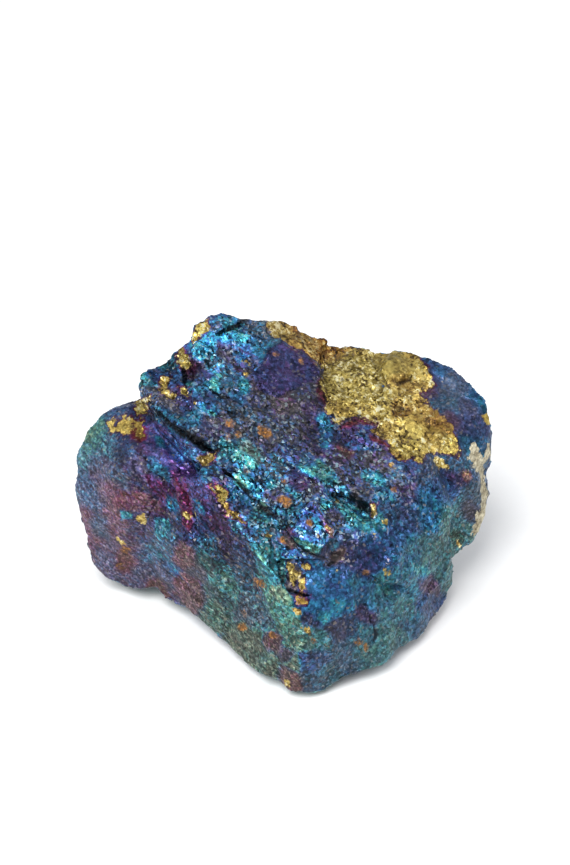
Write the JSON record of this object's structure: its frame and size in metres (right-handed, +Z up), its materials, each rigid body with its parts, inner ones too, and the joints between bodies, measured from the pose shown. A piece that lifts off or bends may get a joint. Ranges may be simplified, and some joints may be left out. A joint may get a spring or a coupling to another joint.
{
  "type": "peacock ore specimen",
  "caption": "Rough hand specimen of peacock ore, an irregular tarnished sulphide stone with broken ledges, standing on a small flat spot.",
  "frame": {"origin": "middle of the stone's bounding box seen from above, at the height of the flat spot that it stands on", "axes": "+Z up from the flat spot, -Y towards the viewer of the stone's best side, +X to that viewer's right along the stone's longest extent"},
  "size_m": [0.0816, 0.0614, 0.0519],
  "materials": {
    "tarnished_ore": "granular metallic sulphide with a blue, teal, violet and magenta tarnish and patches of bare brassy gold"
  },
  "bodies": {
    "root": {"stone": "tarnished_ore"}
  },
  "joints": []
}
